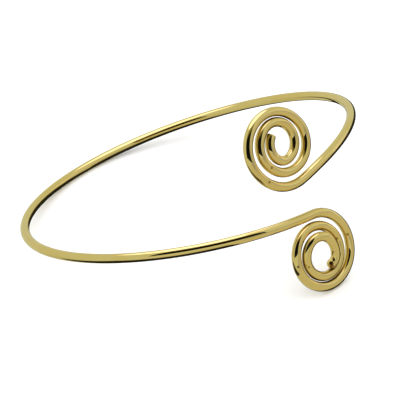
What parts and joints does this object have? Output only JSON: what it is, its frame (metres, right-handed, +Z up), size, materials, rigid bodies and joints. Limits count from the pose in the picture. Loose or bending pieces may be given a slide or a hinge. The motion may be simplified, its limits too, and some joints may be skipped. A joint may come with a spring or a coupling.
{
  "type": "upper arm bangle",
  "caption": "Open ring of round gold-coloured wire that grips the upper arm, its ends coiled into flat scrolls, one above and one below the ring.",
  "frame": {"origin": "middle of the floor that the bangle covers as it rests, at floor level", "axes": "+Z up as the bangle rests by itself, -Y towards its front, and the two scrolls at the front towards +X"},
  "size_m": [0.0926, 0.095, 0.0474],
  "materials": {
    "gold_wire": "polished"
  },
  "bodies": {
    "root": {"bangle_wire": "gold_wire"}
  },
  "joints": []
}
